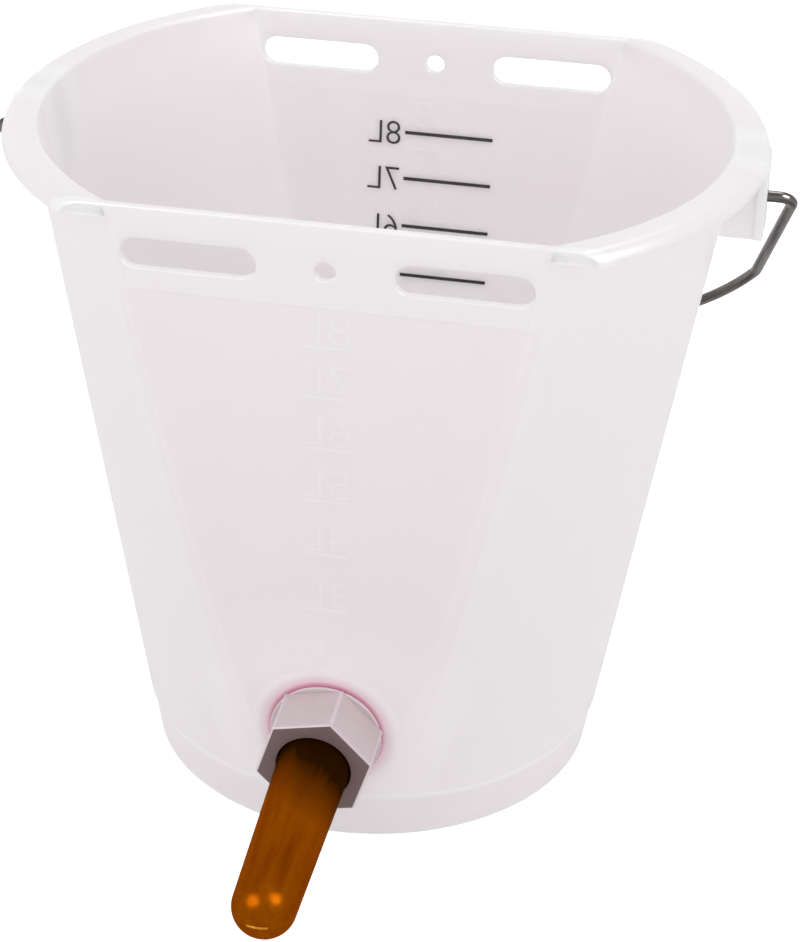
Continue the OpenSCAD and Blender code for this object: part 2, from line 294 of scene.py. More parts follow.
def below(tree, place, edge, soft):
    return calc(tree, "SUBTRACT", 1.0, above(tree, place, edge, soft))


def both(tree, mask, *others):
    for other in others:
        mask = calc(tree, "MULTIPLY", mask, other)
    return mask


def distance(tree, a, b):
    return calc(tree, "SQRT", calc(tree, "ADD", calc(tree, "MULTIPLY", a, a), calc(tree, "MULTIPLY", b, b)))


def alongValve(tree):  # distance in front of the pad, along the valve's axis
    place = placeOf(tree)
    forward = calc(tree, "MULTIPLY", calc(tree, "ADD", place["Y"], padY * mm), -leanCos)
    down = calc(tree, "MULTIPLY", calc(tree, "SUBTRACT", place["Z"], valve["z"] * mm), -leanTan * leanCos)
    return calc(tree, "ADD", forward, down)


def aboveValve(tree, lift=0.0):  # height over the valve's axis, or over a line above it
    place = placeOf(tree)
    back = calc(tree, "MULTIPLY", calc(tree, "ADD", place["Y"], padY * mm), -leanTan * leanCos)
    up = calc(tree, "MULTIPLY", calc(tree, "SUBTRACT", place["Z"], (valve["z"] + lift) * mm), leanCos)
    return calc(tree, "ADD", up, back)


def fromValve(tree, lift=0.0):  # distance from the same line
    return distance(tree, placeOf(tree)["X"], aboveValve(tree, lift))


milky = {
    # wall and cloud are the plastic's own tones; the other shades are painted light, painted shade and painted
    # show-through
    "wall": rgb(0.93, 0.845, 0.88), "panel": rgb(0.91, 0.815, 0.86), "foot": rgb(0.92, 0.845, 0.875),
    "backBand": rgb(0.955, 0.915, 0.925), "cloud": rgb(0.945, 0.88, 0.905), "deep": rgb(0.985, 0.95, 0.96),
    "lip": rgb(0.98, 0.945, 0.957), "earShowThrough": rgb(0.99, 0.97, 0.98), "edgeHighlight": rgb(0.98, 0.95, 0.96),
    "valveShadeLift": rgb(0.95, 0.90, 0.915), "glow": rgb(0.87, 0.64, 0.71), "core": rgb(0.66, 0.21, 0.34),
    "marks": rgb(0.99, 0.96, 0.97),
    "cloudGrain": (14.0, 3.0), "cloudShare": 0.3, "gloss": (70.0, 0.32, 0.42), "bump": (420.0, 0.05, 0.3),
    "flatIn": 0.4, "flatSoft": 0.8, "bandUnder": 0.1, "bandSoft": 0.4,
    "backFrom": (50.0, 1.0), "frontFrom": (90.0, 1.0),
    "footTop": (21.6, 0.8), "footHighlight": ((19.6, 1.2), (22.6, 1.0)), "footEdgeHighlight": (1.2, 1.2), "bottomTop": (23.6, 1.0),
    "deepTop": (100.0, 110.0), "deepFrom": (0.0, 30.0), "rimFrom": (128.0, 3.0), "rimLow": (240.0, 12.0),
    "endReach": (138.5, 2.0), "endFrom": (108.5, 2.0), "earHalf": (12.0, 12.0),
    "earLineAt": 8.7, "earLineHalf": (0.9, 0.7), "earLineLow": (247.5, 1.5),
    "earLineReach": ((127.0, 2.0), (138.5, 0.5)),
    "lipLineOut": (4.0, 1.0), "lipLineLow": (-0.3, 0.2), "lipLineHigh": (0.6, 0.5),
    "haloLift": 0.9, "glowR": (22.9, 5.2), "coreR": (22.2, 2.4), "backedR": (36.0, 34.0),
    "clearDeep": 9.0, "deepClearer": 8.0, "denser": 6.5, "scatter": (1.0, 0.97, 0.98), "bend": 1.49,
}


def milkyPlastic(name, paler=0.0):
    m = milky
    mat, tree, shader = startMaterial(name)
    x, y, z = placeOf(tree)
    depth, reach = calc(tree, "ABSOLUTE", y), distance(tree, x, y)
    plane = calc(tree, "MULTIPLY_ADD", z, leanTan, (roomPanelAt(0) - m["flatIn"]) * mm)
    onFlat = step(tree, depth, plane, m["flatSoft"] * mm)
    # painted shade: the flat panels are darker than the round walls; painted light: the band above the back panel is
    # paler
    panel = both(tree, onFlat, below(tree, z, bandZ - m["bandUnder"], m["bandSoft"]))
    backBand = both(tree, calc(tree, "SUBTRACT", onFlat, panel), above(tree, y, *m["backFrom"]))
    cloud = spread(tree, grain(tree, *m["cloudGrain"]), 0.0, m["cloudShare"])
    # painted light: low down at the back the plastic is painted paler, lifting the shade where little light gets in
    deep = both(tree, below(tree, z, *m["deepTop"]), above(tree, y, *m["deepFrom"]))  # gets little light
    # painted light: the rim at the lip's ends and over the ears is painted paler, lifting the shade of the hollow lip
    # and the ear pockets
    atRim = both(tree, above(tree, reach, *m["rimFrom"]), above(tree, z, *m["rimLow"]))
    atEnds = both(tree, above(tree, reach, *m["endReach"]), above(tree, depth, *m["endFrom"]))
    lip = both(tree, atRim, calc(tree, "MAXIMUM", atEnds, below(tree, depth, *m["earHalf"])))

    # painted show-through: paler stripes are painted where the side walls of the ears stand behind the wall
    earShowThrough = calc(tree, "ABSOLUTE", calc(tree, "SUBTRACT", depth, m["earLineAt"] * mm))
    earShowThrough = both(tree, below(tree, earShowThrough, *m["earLineHalf"]), above(tree, z, *m["earLineLow"]),
                   above(tree, reach, *m["earLineReach"][0]), below(tree, reach, *m["earLineReach"][1]))

    # painted highlights: paler lines along the foot's step, along its bottom edge and under the lip
    footHighlight = both(tree, above(tree, z, *m["footHighlight"][0]), below(tree, z, *m["footHighlight"][1]))
    footHighlight = calc(tree, "MAXIMUM", footHighlight, below(tree, z, *m["footEdgeHighlight"]))
    lipLow, lipOut = rimZ - rim["drop"], bucket["rimR"] + m["lipLineOut"][0]
    lipHighlight = both(tree, above(tree, reach, lipOut, m["lipLineOut"][1]),
                   above(tree, z, lipLow + m["lipLineLow"][0], m["lipLineLow"][1]),
                   below(tree, z, lipLow + m["lipLineHigh"][0], m["lipLineHigh"][1]))

    # painted show-through: the red seal's glow through the front wall round the nut is painted into the colour
    front = above(tree, calc(tree, "MULTIPLY", y, -1.0), *m["frontFrom"])
    halo = fromValve(tree, m["haloLift"])
    # painted light: the front wall round the valve is painted paler, lifting the shade of the parts behind it
    valveShadeLift = both(tree, below(tree, fromValve(tree), *m["backedR"]), front)

    colour = m["wall"]
    for mask, share, shade in (
            # painted shade: the foot below the floor is darker
            (panel, 1.0, "panel"), (below(tree, z, *m["footTop"]), 1.0, "foot"), (backBand, 1.0, "backBand"),
            (cloud, 1.0, "cloud"), (deep, 0.9, "deep"), (lip, 0.9, "lip"), (earShowThrough, 0.7, "earShowThrough"),
            (calc(tree, "MAXIMUM", footHighlight, lipHighlight), 0.8, "edgeHighlight"), (valveShadeLift, 0.6, "valveShadeLift"),
            (both(tree, below(tree, halo, *m["glowR"]), front), 1.0, "glow"),
            (both(tree, below(tree, halo, *m["coreR"]), front), 1.0, "core")):
        colour = blendColour(tree, both(tree, mask, share), colour, m[shade])
    # painted show-through: the paler finish of the front marks
    if paler:
        colour = blendColour(tree, paler, colour, m["marks"])
    tree.links.new(colour, shader.inputs["Base Color"])
    shader.inputs["IOR"].default_value = m["bend"]
    shader.subsurface_method = "RANDOM_WALK"
    shader.inputs["Subsurface Weight"].default_value = 1.0
    shader.inputs["Subsurface Radius"].default_value = m["scatter"]
    bottom = below(tree, z, *m["bottomTop"])
    dense = calc(tree, "MAXIMUM", calc(tree, "MAXIMUM", bottom, valveShadeLift), lip)  # little light comes through here
    clear = calc(tree, "MULTIPLY_ADD", deep, m["deepClearer"] * mm, m["clearDeep"] * mm)
    tree.links.new(calc(tree, "MULTIPLY_ADD", dense, -m["denser"] * mm, clear), shader.inputs["Subsurface Scale"])
    glossy(tree, shader, *m["gloss"])
    roughen(tree, shader, *m["bump"])
    return mat


ink = {"dark": rgb(0.008, 0.007, 0.010), "wearAndHighlight": rgb(0.02, 0.018, 0.024), "wear": 900.0, "gloss": (300.0, 0.4, 0.6)}


def scaleInk():
    mat, tree, shader = startMaterial("scale_ink")
    wear = spread(tree, grain(tree, ink["wear"]), 0.0, 1.0)
    tree.links.new(blendColour(tree, wear, ink["dark"], ink["wearAndHighlight"]), shader.inputs["Base Color"])
    glossy(tree, shader, *ink["gloss"])
    return mat


steel = {
    "dark": rgb(0.02, 0.017, 0.016), "light": rgb(0.23, 0.212, 0.207), "dull": rgb(0.08, 0.073, 0.07), "dullShare": 0.4,
    "drawn": (1.0, 3.0, 0.6, (9.0, 0.035, 1.0), "UV"),  # marks that run along the wire
    "dullGrain": (90.0, 3.0, 0.6), "gloss": (300.0, 0.14, 0.22), "bump": (700.0, 0.04, 0.2),
}


def steelWire():
    mat, tree, shader = startMaterial("steel_wire")
    # dark and light streaks along the wire: partly drawing marks, partly a painted sheen
    drawn = spread(tree, grain(tree, *steel["drawn"]), 0.0, 1.0)
    dull = spread(tree, grain(tree, *steel["dullGrain"]), 0.0, steel["dullShare"])
    colour = blendColour(tree, drawn, steel["dark"], steel["light"])
    tree.links.new(blendColour(tree, dull, colour, steel["dull"]), shader.inputs["Base Color"])
    shader.inputs["Metallic"].default_value = 1.0
    glossy(tree, shader, *steel["gloss"])
    roughen(tree, shader, *steel["bump"])
    return mat


white = {
    "dark": rgb(0.80, 0.78, 0.79), "light": rgb(0.88, 0.87, 0.87), "shade": (60.0, 3.0), "gloss": (250.0, 0.35, 0.5),
    "bump": (1200.0, 0.05, 0.2), "through": 0.3, "scatter": (1.0, 0.95, 0.9), "scatterDeep": 1.0,
}


def whitePlastic():
    mat, tree, shader = startMaterial("white_plastic")
    shade = spread(tree, grain(tree, *white["shade"]), 0.0, 1.0)
    tree.links.new(blendColour(tree, shade, white["dark"], white["light"]), shader.inputs["Base Color"])
    shader.inputs["Subsurface Weight"].default_value = white["through"]
    shader.inputs["Subsurface Radius"].default_value = white["scatter"]
    shader.inputs["Subsurface Scale"].default_value = white["scatterDeep"] * mm
    glossy(tree, shader, *white["gloss"])
    roughen(tree, shader, *white["bump"])
    return mat


red = {
    "dark": rgb(0.46, 0.03, 0.06), "light": rgb(0.58, 0.06, 0.10), "shade": (90.0, 3.0), "gloss": (300.0, 0.5, 0.7),
    "bump": (900.0, 0.1, 0.2),
}


def redRubber():
    mat, tree, shader = startMaterial("red_rubber")
    shade = spread(tree, grain(tree, *red["shade"]), 0.0, 1.0)
    tree.links.new(blendColour(tree, shade, red["dark"], red["light"]), shader.inputs["Base Color"])
    glossy(tree, shader, *red["gloss"])
    roughen(tree, shader, *red["bump"])
    return mat


amber = {
    "dark": rgb(0.185, 0.036, 0.0004), "light": rgb(0.30, 0.072, 0.0010), "cloud": rgb(0.31, 0.08, 0.0011),
    "root": rgb(0.014, 0.005, 0.0004), "cut": rgb(0.75, 0.27, 0.03),
    "streak": (1.0, 3.0, 0.55, (230.0, 14.0, 230.0)), "cloudGrain": (45.0, 3.0), "cloudShare": 0.4,
    "rootEnd": 26.0, "rootLonger": 10.5, "longerFrom": (-7.0, 9.0), "rootUneven": 4.0, "rootFade": 30.0,
    "rootShare": 0.96,
    "cutHalf": (0.3, 0.4), "cutLength": (3.8, 0.6), "cutFrom": (112.0, 1.0),
    "gloss": (120.0, 0.29, 0.35, 3.0), "bump": (700.0, 0.1, 0.3, 3.0), "metal": 0.2, "edgeTint": rgb(0.45, 0.24, 0.06),
    "through": 0.35, "scatter": (1.0, 0.35, 0.06), "scatterDeep": 4.0,
}


def amberRubber():
    a = amber
    mat, tree, shader = startMaterial("amber_rubber")
    x, along = placeOf(tree)["X"], alongValve(tree)
    streak = grain(tree, *a["streak"])
    cloud = spread(tree, grain(tree, *a["cloudGrain"]), 0.0, a["cloudShare"])
    colour = blendColour(tree, spread(tree, streak, 0.0, 1.0), a["dark"], a["light"])
    colour = blendColour(tree, cloud, colour, a["cloud"])
    # painted shade: dark where the sleeve and the nut behind the rubber keep the light out
    side = above(tree, x, *a["longerFrom"])
    rootEnd = calc(tree, "MULTIPLY_ADD", side, a["rootLonger"] * mm, a["rootEnd"] * mm)
    rootEnd = calc(tree, "ADD", rootEnd, spread(tree, streak, -a["rootUneven"] * mm, a["rootUneven"] * mm))
    root = calc(tree, "SUBTRACT", 1.0, step(tree, along, rootEnd, a["rootFade"] * mm))
    colour = blendColour(tree, both(tree, root, a["rootShare"]), colour, a["root"])
    # painted highlight: a pale glint along the lips of the slit
    cut = both(tree, below(tree, calc(tree, "ABSOLUTE", aboveValve(tree)), *a["cutHalf"]),
               below(tree, calc(tree, "ABSOLUTE", x), *a["cutLength"]), above(tree, along, *a["cutFrom"]))
    tree.links.new(blendColour(tree, cut, colour, a["cut"]), shader.inputs["Base Color"])
    shader.inputs["Metallic"].default_value = a["metal"]  # amber gloss without a pale haze at the sides
    shader.inputs["Specular IOR Level"].default_value = 0.0
    shader.inputs["Specular Tint"].default_value = a["edgeTint"]
    shader.inputs["Subsurface Weight"].default_value = a["through"]
    shader.inputs["Subsurface Radius"].default_value = a["scatter"]
    shader.inputs["Subsurface Scale"].default_value = a["scatterDeep"] * mm
    glossy(tree, shader, *a["gloss"])
    roughen(tree, shader, *a["bump"])
    return mat


grey = {
    # face is painted shade, and the pale edge colour is a painted highlight
    "dark": rgb(0.60, 0.515, 0.535), "light": rgb(0.66, 0.57, 0.59), "wearAndHighlight": rgb(0.80, 0.73, 0.75),
    "face": rgb(0.205, 0.140, 0.138), "shade": (50.0, 3.0), "gloss": (260.0, 0.38, 0.52), "shine": 0.25,
    "bump": (900.0, 0.08, 0.2, 3.0), "wornShare": 0.6, "cornerR": (23.65, 0.4), "washerR": (22.4, 0.3),
    "washerOver": (0.05, 0.1), "bevelBack": (0.7, 0.2), "bevelR": (17.5, 0.5), "faceBack": (0.05, 0.04),
    "mouthR": (16.2, 0.1), "mouthBack": (0.1, 0.1),
}


def greyPlastic():
    g = grey
    mat, tree, shader = startMaterial("grey_plastic")
    along, away = alongValve(tree), fromValve(tree)

    def inFrontOf(place, back, soft):
        return above(tree, along, place - back, soft)

    # painted highlights: the corners, the front bevel and the washer's rim are painted paler
    corner = above(tree, away, *g["cornerR"])
    bevel = both(tree, inFrontOf(stack["nutFront"], *g["bevelBack"]), above(tree, away, *g["bevelR"]))
    washerEdge = both(tree, above(tree, away, *g["washerR"]),
                      below(tree, along, stack["washer"] + g["washerOver"][0], g["washerOver"][1]))
    wearAndHighlight = both(tree, calc(tree, "MAXIMUM", corner, bevel), g["wornShare"])  # edges are paler
    # painted shade: the front face and the mouth of the bore are painted dark
    inMouth = both(tree, below(tree, away, *g["mouthR"]), inFrontOf(stack["shoulder"], *g["mouthBack"]))
    face = calc(tree, "MAXIMUM", inFrontOf(stack["nutFront"], *g["faceBack"]), inMouth)
    shade = spread(tree, grain(tree, *g["shade"]), 0.0, 1.0)
    colour = blendColour(tree, shade, g["dark"], g["light"])
    colour = blendColour(tree, calc(tree, "MAXIMUM", wearAndHighlight, washerEdge), colour, g["wearAndHighlight"])
    tree.links.new(blendColour(tree, face, colour, g["face"]), shader.inputs["Base Color"])
    shader.inputs["Specular IOR Level"].default_value = g["shine"]
    glossy(tree, shader, *g["gloss"])
    roughen(tree, shader, *g["bump"])
    return mat


finishes = {
    "milky": milkyPlastic("milky_plastic"), "marks": milkyPlastic("milky_plastic_marks", 0.3), "ink": scaleInk(),
    "steel": steelWire(), "white": whitePlastic(), "red": redRubber(), "amber": amberRubber(), "grey": greyPlastic(),
}
print("finishes made:", len(finishes))


# the moulding: foot, walls, bands and floor as one stack of rings

def crossRing(radius, depth, z, crease):
    b = bucket
    limit = math.radians(b["flatMost"])
    corner = min(math.asin(min(1.0, depth / radius)), limit)
    flat = depth < radius * math.sin(limit)

    def at(angle):
        s = math.sin(angle)
        r = radius if s * radius <= depth else depth / s
        return Vector((r * math.cos(angle), r * s))

    start = corner - crease / radius
    first, mid = at(start), at(corner)
    last = mid + Vector((-crease, 0)) if flat else at(corner + crease / radius)
    quarter = [at(start * i / b["arcSteps"]) for i in range(b["arcSteps"])]
    for i in range(b["creaseSteps"] + 1):
        t = i / b["creaseSteps"]
        quarter.append(first * (1 - t) ** 2 + mid * 2 * t * (1 - t) + last * t * t)
    for i in range(1, b["flatSteps"] + 1):
        t = i / b["flatSteps"]
        if flat:
            quarter.append(last.lerp(Vector((0, depth)), t))
        else:
            lastAngle = corner + crease / radius
            quarter.append(at(lastAngle + (math.pi / 2 - lastAngle) * t))
    quarter[-1] = Vector((0, min(depth, radius)))
    loop = list(quarter)
    loop += [Vector((-p.x, p.y)) for p in reversed(quarter[:-1])]
    loop += [Vector((-p.x, -p.y)) for p in quarter[1:]]
    loop += [Vector((p.x, -p.y)) for p in reversed(quarter[1:-1])]
    return [(p.x, p.y, z) for p in loop]


def slotLoop(x0, half, r, steps=12):  # a slot, or a round hole where half is 0, in width and height
    loop = []
    for i in range(steps + 1):
        t = -math.pi / 2 + math.pi * i / steps
        loop.append((x0 + half + r * math.cos(t), slotZ + r * math.sin(t)))
    for i in range(steps + 1):
        t = math.pi / 2 + math.pi * i / steps
        loop.append((x0 - half + r * math.cos(t), slotZ + r * math.sin(t)))
    if half == 0:
        loop = [p for k, p in enumerate(loop) if k not in (steps + 1, 2 * steps + 1)]
    return loop


def mouldingShell():
    b = bucket
    e = b["edge"]
    rings, marks = [], {}

    def ring(radius, depth, z, mark=None):
        if mark:
            marks[mark] = len(rings)
        crease = b["bandCrease"] if z >= bandZ else b["crease"]
        rings.append(crossRing(radius, depth, z, crease))

    under, fillet = b["floorTop"] - b["floorThick"], b["underFillet"]
    ring(roomAt(under) - b["footStep"] - fillet, b["noFlat"], under)
    ring(roomAt(under) - b["footStep"], b["noFlat"], under - fillet)
    ring(roomAt(e) - b["footStep"], b["noFlat"], e)
    ring(roomAt(0) - b["footStep"] + e, b["noFlat"], 0)
    ring(wallAt(0) - b["footStep"] - e, panelAt(0), 0)
    for z in (e, *b["footLevels"]):
        ring(wallAt(z) - b["footStep"], panelAt(z), z)
    turn = b["footTurn"]
    ring(wallAt(turn) - b["footTurnIn"], panelAt(turn), turn)
    underBand, overStep = bandZ - b["bandUnder"], bandZ + b["bandStep"]
    for z in (*b["wallLevels"], underBand):
        ring(wallAt(z), panelAt(z), z)
    ring(wallAt(bandZ), bandAt(bandZ) - b["bandStep"], bandZ)
    ring(wallAt(overStep), bandAt(overStep), overStep, "outerLow")
    ring(wallAt(rimZ - e), bandAt(rimZ - e), rimZ - e, "outerHigh")
    ring(wallAt(rimZ), bandAt(rimZ) - e, rimZ)
    soft = b["rimEdge"]
    for a in (90, 60, 30, 0):  # rounded edge inside the rim
        z = rimZ - soft * (1 - math.sin(math.radians(a)))
        fall = 1 - math.cos(math.radians(a))
        ring(roomAt(z) + soft * fall, roomPanelAt(z) + e * fall, z, None if a else "innerHigh")
    ring(roomAt(overStep), roomPanelAt(overStep), overStep, "innerLow")
    for z in (underBand, *reversed(b["wallLevels"][b["innerFrom"]:])):
        ring(roomAt(z), roomPanelAt(z), z)
    f = b["floorFillet"]
    for a in (0, 30, 60, 90):
        inset = f * (1 - math.cos(math.radians(a)))
        z = b["floorTop"] + f * (1 - math.sin(math.radians(a)))
        ring(roomAt(z) - inset, roomPanelAt(z) - inset, z)

    count = len(rings[0])
    verts = [p for r in rings for p in r]
    half = count // 2
    flatStart = b["arcSteps"] + b["creaseSteps"]
    backFlat = range(flatStart, half - flatStart)
    frontFlat = range(half + flatStart, count - flatStart)
    skip = set()
    for mark in ("outerLow", "innerHigh"):
        for i in list(backFlat) + list(frontFlat):
            skip.add((marks[mark], i))
    faces = stackFaces(rings, count, skip=skip)
    faces.append(tuple(range(count)))
    lastRing = (len(rings) - 1) * count
    faces.append(tuple(range(lastRing, lastRing + count)))

    # slots and the hole between them, with their edges rounded
    slotHalf, slotR = (b["slotLength"] - b["slotWidth"]) / 2, b["slotWidth"] / 2
    openings = [(s * b["slotPitch"] / 2, slotHalf, slotR) for s in (-1, 1)]
    openings.append((0.0, 0.0, b["holeWidth"] / 2))
    g = b["slotEdge"]
    for side, flats in ((1, backFlat), (-1, frontFlat)):
        outerHoles, innerHoles = [], []
        for x0, halfLength, r in openings:
            loops = []
            for grow, depthAt in ((g, bandAt), (0, lambda z: bandAt(z) - g),
                                  (0, lambda z: roomPanelAt(z) + g), (g, roomPanelAt)):
                start = len(verts)
                flatLoop = slotLoop(x0, halfLength, r + grow)
                verts.extend((px, side * depthAt(pz), pz) for px, pz in flatLoop)
                loops.append(list(range(start, len(verts))))
            for near, far in zip(loops, loops[1:]):
                n = len(near)
                faces.extend((near[i], near[(i + 1) % n], far[(i + 1) % n], far[i]) for i in range(n))
            outerHoles.append(loops[0])
            innerHoles.append(loops[-1])
        for low, high, holes in (("outerLow", "outerHigh", outerHoles), ("innerLow", "innerHigh", innerHoles)):
            run = list(flats) + [flats[-1] + 1]
            edge = [marks[low] * count + i for i in run] + [marks[high] * count + i for i in reversed(run)]
            lines = [edge] + holes
            flatIndex = [i for line in lines for i in line]
            flatLines = [[Vector((verts[i][0], verts[i][2], 0)) for i in line] for line in lines]
            triangles = tessellate_polygon(flatLines)
            faces.extend(tuple(flatIndex[i] for i in t) for t in triangles)
    return meshObject("bucket_moulding", verts, faces)


def rimLip(side):
    r = rim
    top, skirt = rimZ - r["sink"], rimZ - r["drop"]
    outR = bucket["rimR"] + r["reach"]
    centre = outR - r["drop"]
    curl = r["drop"] - r["sink"]
    up, skirtR = skirt + r["skirtUp"], outR - r["plate"] + r["skirtIn"]
    outer = [(wallAt(top) - r["rootIn"], top)] + arcPoints(centre, skirt, curl, 90, r["curlFrom"], r["curlSteps"])
    outer += [(outR - r["skirtOut"], up), (outR - r["skirtEdge"], skirt)]
    inner = [(skirtR, skirt), (outR - r["plate"], up)]
    inner += arcPoints(centre, skirt, r["drop"] - r["plate"], r["curlFrom"], 90, r["innerSteps"])
    inner += [(wallAt(top - r["plate"]) - r["rootIn"], rimZ - r["plate"])]
    hollow = outer + inner
    solid = outer + [(min(p[0], skirtR), skirt) for p in inner[:-1]]
    solid += [(wallAt(skirt) - r["rootIn"], skirt)]
    middle = (centre + r["middleOut"], skirt + r["middleUp"])

    def drawnIn(along, up):
        return [(middle[0] + (p[0] - middle[0]) * along, middle[1] + (p[1] - middle[1]) * up) for p in solid]

    frameIn, frameOut, soft = (drawnIn(*r[k]) for k in ("dipShare", "frameShare", "softShare"))

    def ring(profile, t):
        out = []
        for pr, pz in profile:
            angle = t * math.asin((bandAt(pz) - r["endGap"]) / pr)
            out.append((side * pr * math.cos(angle), pr * math.sin(angle), pz))
        return out

    reach = r["arcShare"] * outR  # length of the arc from the middle to an end
    webEnd, dipEnd, edgeEnd = (1 - r[k] / reach for k in ("web", "dip", "endEdge"))
    ends = [(frameIn, dipEnd), (frameIn, 1.0), (frameOut, 1.0), (soft, (1.0 + edgeEnd * 2) / 3), (solid, edgeEnd),
            (solid, webEnd), (hollow, webEnd)]
    rings = [ring(profile, -t) for profile, t in ends]
    rings += [ring(hollow, webEnd * (2 * i / r["steps"] - 1)) for i in range(1, r["steps"])]
    rings += [ring(profile, t) for profile, t in reversed(ends)]
    return ringsObject("lip", rings, capStart=True, capEnd=True)


ear = {
    "width": 22.0, "drop": 34.0, "wall": 3.6, "proud": 0.5, "pivotDrop": 19.3, "holeR": 2.45, "edge": 0.5,
    "rootIn": 1.7, "recess": 1.0, "topGap": 0.15, "pocketIn": 9.0, "pocketUnder": 5.0, "pocketTop": 1.9,
    "past": 1.0, "holePast": 2.0,
    "edgeShares": ((0.0, 0.8), (0.35, 0.2), (1.0, 0.0)),  # in from the side and off the outline, in edges
    "curlSteps": 9, "holeSteps": 32,
}
earR = bucket["rimR"] + rim["reach"] + ear["proud"]
earBack = earR - ear["wall"]
pivotZ = rimZ - ear["pivotDrop"]


def bailEar(side):
    low, e = rimZ - ear["drop"], ear["edge"]
    top = rimZ - ear["topGap"]

    def profile(inset):
        points = [(wallAt(low) - ear["rootIn"] + inset, low + inset), (earR - e - inset, low + inset),
                  (earR - inset, low + e + inset)]
        curl = rim["drop"] - ear["topGap"] - inset
        points += arcPoints(earR - rim["drop"], rimZ - rim["drop"], curl, 0, 90, ear["curlSteps"])
        points += [(wallAt(top) - ear["rootIn"] + inset, top - inset)]
        return points

    half = ear["width"] / 2
    ends = [(half - e * along, e * inset) for along, inset in ear["edgeShares"]]
    ends = [(-y, inset) for y, inset in ends] + ends[::-1]
    rings = [[(side * px, y, pz) for px, pz in profile(inset)] for y, inset in ends]
    block = ringsObject("ear", rings, capStart=True, capEnd=True)
    nearX, farX = side * (wallAt(low) - ear["pocketIn"]), side * earBack

    def cutOut(name, fromY, toY):
        plan = ((nearX, fromY), (farX, fromY), (farX, toY), (nearX, toY))
        box = [[(px, py, pz) for px, py in plan] for pz in (low - ear["pocketUnder"], rimZ - ear["pocketTop"])]
        fuse(block, ringsObject(name, box, capStart=True, capEnd=True), "DIFFERENCE")

    inner = half - ear["wall"]
    cutOut("pocket", -inner, inner)
    for end in (-1, 1):  # the side walls stand back a little from the edges of the outer plate
        cutOut("recess", end * (half - ear["recess"]), end * (half + ear["past"]))
    angles = [2 * math.pi * i / ear["holeSteps"] for i in range(ear["holeSteps"])]
    hole = [[(side * px, ear["holeR"] * math.cos(a), pivotZ + ear["holeR"] * math.sin(a)) for a in angles]
            for px in (earBack - ear["holePast"], earR + ear["holePast"])]
    fuse(block, ringsObject("hole", hole, capStart=True, capEnd=True), "DIFFERENCE")
    return block


moulding = mouldingShell()
for side in (-1, 1):
    fuse(moulding, rimLip(side), "UNION")
    fuse(moulding, bailEar(side), "UNION")
padProfile = [(valve["padR"], -valve["padRaise"] - valve["padRoot"])]
padProfile += [(valve["padR"] - inset, z) for inset, z in valve["padEdge"]]
passage = [(valve["passageR"], z) for z in valve["passage"]]
for name, profile, operation in (("pad", padProfile, "UNION"), ("passage", passage, "DIFFERENCE")):
    rings = turned(profile, valve["steps"])
    fuse(moulding, ringsObject(name, rings, capStart=True, capEnd=True, place=valvePlace), operation)
tidyMesh(moulding)
finishPiece(moulding, "bucket", finishes["milky"],
            ("bucket_body", "front_band", "back_band", "left_rim", "right_rim"))
print("moulding made:", len(moulding.data.polygons), "faces")


# litre scale: heights from the volume above the floor

def crossArea(z):
    r, d = roomAt(z), roomPanelAt(z)
    if d >= r:
        return math.pi * r * r
    a = math.acos(d / r)
    return math.pi * r * r - 2 * (r * r * a - d * math.sqrt(r * r - d * d))


def litreHeights(most):
    heights, volume, z, dz = [], 0.0, bucket["floorTop"], 0.05
    litre = 1e6  # cubic millimetres
    while len(heights) < most:
        volume += crossArea(z + dz / 2) * dz
        z += dz
        if volume >= (len(heights) + 1) * litre:
            heights.append(z)
    return heights


scale = {
    "litres": 8, "lineLeft": 26.97, "lineRight": -12.17, "lineThick": 1.55, "digitRight": -14.2, "digitHeight": 10.6,
    "digitWidth": 14.2, "digitThinner": 0.013, "film": 0.05, "seenHigher": 0.9, "digitDrop": 0.5,
    "markWidth": 18.0, "markHeight": 12.2, "markLift": 0.35, "markRoot": 0.4, "barThick": 1.2, "barLift": 0.8,
    "barGap": 3.0, "showThrough": 0.03, "thinner": 0.025, "frontFrom": 2, "curveSteps": 6,
}
litreZ = litreHeights(scale["litres"])


def letterShapes(words, width, height, thick=0.0, thinner=0.0):  # flat letters, with sides where thick
    curve = bpy.data.curves.new("letters", "FONT")
    curve.body = words
    curve.extrude = thick / 2
    curve.offset = -thinner
    curve.resolution_u = scale["curveSteps"]
    obj = bpy.data.objects.new("letters", curve)
    scene.collection.objects.link(obj)
    depsgraph = bpy.context.evaluated_depsgraph_get()
    made = bpy.data.meshes.new_from_object(obj.evaluated_get(depsgraph))
    verts = [v.co.copy() for v in made.vertices]
    faces = [tuple(p.vertices) for p in made.polygons]
    bpy.data.objects.remove(obj)
    lowX, highX = min(v.x for v in verts), max(v.x for v in verts)
    lowY, highY = min(v.y for v in verts), max(v.y for v in verts)
    fitX, fitY = highX - lowX, highY - lowY
    return [((v.x - lowX) / fitX * width, (v.y - lowY) / fitY * height, v.z + thick / 2) for v in verts], faces


def addShape(verts, faces, shape, placeAt):
    base = len(verts)
    verts.extend(placeAt(*p) for p in shape[0])
    faces.extend(tuple(base + i for i in f) for f in shape[1])


def barShape(width, height, thick=0.0):
    w, h = width, height
    if not thick:
        return [(0, 0, 0), (w, 0, 0), (w, h, 0), (0, h, 0)], [(0, 1, 2, 3)]
    points = [(x, y, z) for z in (0, thick) for x, y in ((0, 0), (w, 0), (w, h), (0, h))]
    return points, [(4, 5, 6, 7), (0, 1, 5, 4), (1, 2, 6, 5), (2, 3, 7, 6), (3, 0, 4, 7), (3, 2, 1, 0)]


